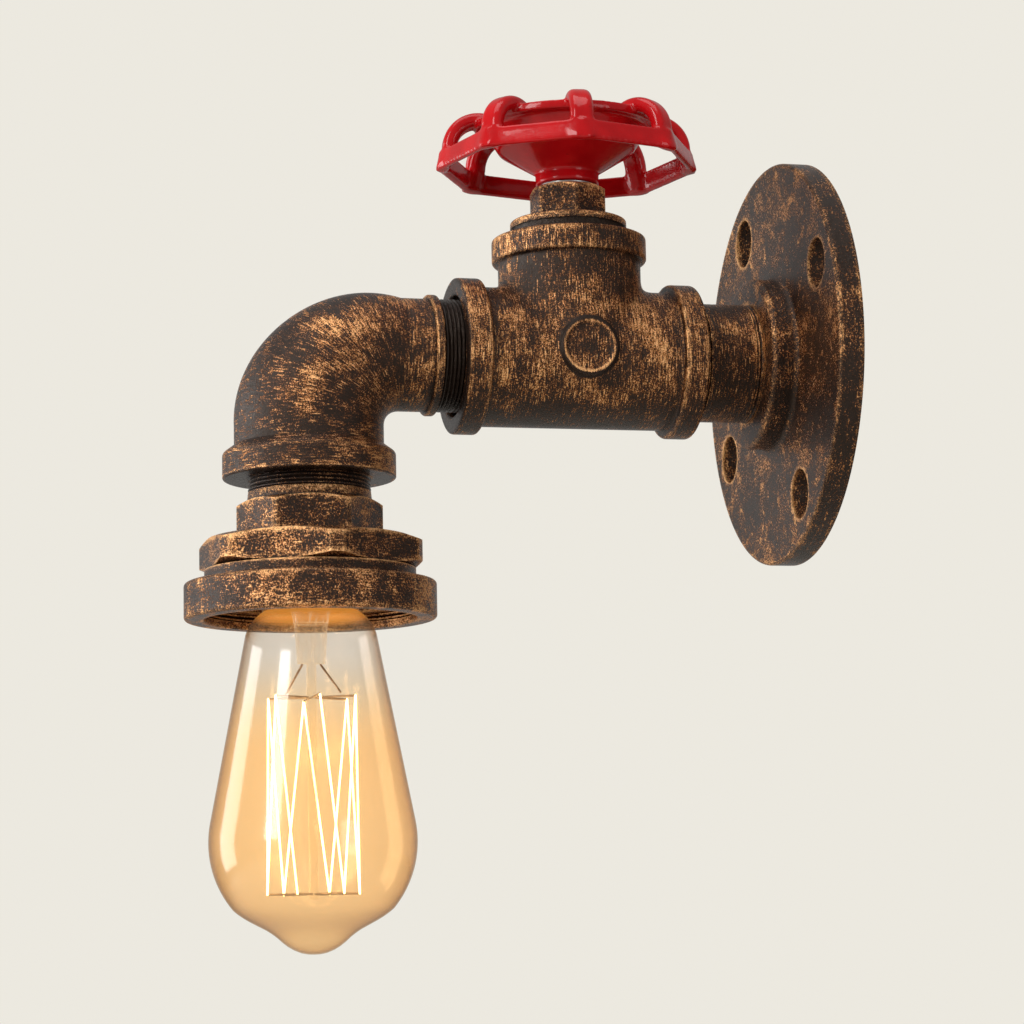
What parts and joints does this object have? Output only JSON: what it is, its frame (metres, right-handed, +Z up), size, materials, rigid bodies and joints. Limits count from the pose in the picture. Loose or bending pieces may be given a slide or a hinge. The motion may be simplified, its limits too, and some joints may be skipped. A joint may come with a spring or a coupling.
{
  "type": "wall light",
  "caption": "Pipe-style wall light: round flange, tee with a red turning handwheel, elbow, and a teardrop filament bulb that unscrews from its lampholder.",
  "frame": {"origin": "centre of the wall flange's back face, where the axis of the pipe arm meets the wall", "axes": "+Y into the wall, -Y out along the pipe arm, +Z up, +X to the right for a viewer who faces the wall"},
  "size_m": [0.115, 0.176, 0.2356],
  "materials": {
    "flange_iron": "antique bronze over fine cast grain",
    "fitting_iron": "antique bronze, dry brushed",
    "elbow_iron": "antique bronze, dry brushed",
    "nipple_steel": "antique bronze, brushed round",
    "bushing_iron": "antique bronze, mottled",
    "ring_iron": "antique bronze, mottled",
    "wheel_enamel": "gloss red",
    "spindle_steel": "plain",
    "brass": "satin",
    "zinc_steel": "zinc plated",
    "phenolic": "black phenolic",
    "amber_glass": "clear amber",
    "clear_glass": "clear",
    "cap_nickel": "nickel plated",
    "cap_vitrite": "black glass disc",
    "solder": "dull",
    "lead_wire": "nickel wire",
    "filament_glow": "glowing",
    "brown_insulation": "live wire",
    "blue_insulation": "neutral wire",
    "green_insulation": "earth wire",
    "block_plastic": "natural"
  },
  "bodies": {
    "fixture": {"wall_flange": "flange_iron", "arm_nipple": "nipple_steel", "tee_fitting": "fitting_iron", "street_elbow": "elbow_iron", "hex_nipple": "bushing_iron", "reducing_bushing": "bushing_iron", "shade_ring": "ring_iron", "tee_bonnet": "fitting_iron", "socket_body": "phenolic", "socket_screw_shell": "brass", "socket_centre_contact": "brass", "socket_terminal_screws": "zinc_steel", "lamp_tube": "zinc_steel", "lamp_tube_washer": "zinc_steel", "lamp_tube_nut": "brass", "earth_lug": "brass", "terminal_block": "block_plastic", "terminal_block_screws": "brass", "live_wire": "brown_insulation", "neutral_wire": "blue_insulation", "earth_wire": "green_insulation"},
    "handwheel": {"handwheel": "wheel_enamel", "valve_stem": "spindle_steel", "stem_clip": "spindle_steel", "stem_washer": "zinc_steel", "wheel_washer": "zinc_steel", "wheel_nut": "zinc_steel"},
    "bulb_envelope": {"bulb_glass": "amber_glass"},
    "bulb_base": {"bulb_cap_shell": "cap_nickel", "bulb_cap_insulator": "cap_vitrite", "bulb_cap_contact": "solder", "bulb_stem": "clear_glass", "bulb_filament": "filament_glow", "bulb_support_wires": "lead_wire", "bulb_lead_wires": "lead_wire"}
  },
  "joints": [
    {"name": "handwheel_turn", "type": "hinge", "parent": "fixture", "child": "handwheel", "pos_m": [0, -0.0663, 0.0501], "axis": [0, 0, 1], "continuous": true},
    {"name": "bulb_travel", "type": "slide", "parent": "fixture", "child": "bulb_envelope", "axis": [0, 0, -1], "range_m": [0, 0.01452]},
    {"name": "bulb_turn", "type": "hinge", "parent": "bulb_envelope", "child": "bulb_base", "pos_m": [0, -0.1415, -0.0719], "axis": [0, 0, -1], "range_deg": [0, 1440]}
  ],
  "couplings": [
    {"joint": "bulb_turn", "follows": "bulb_travel", "rad_per_m": 1731.4}
  ]
}
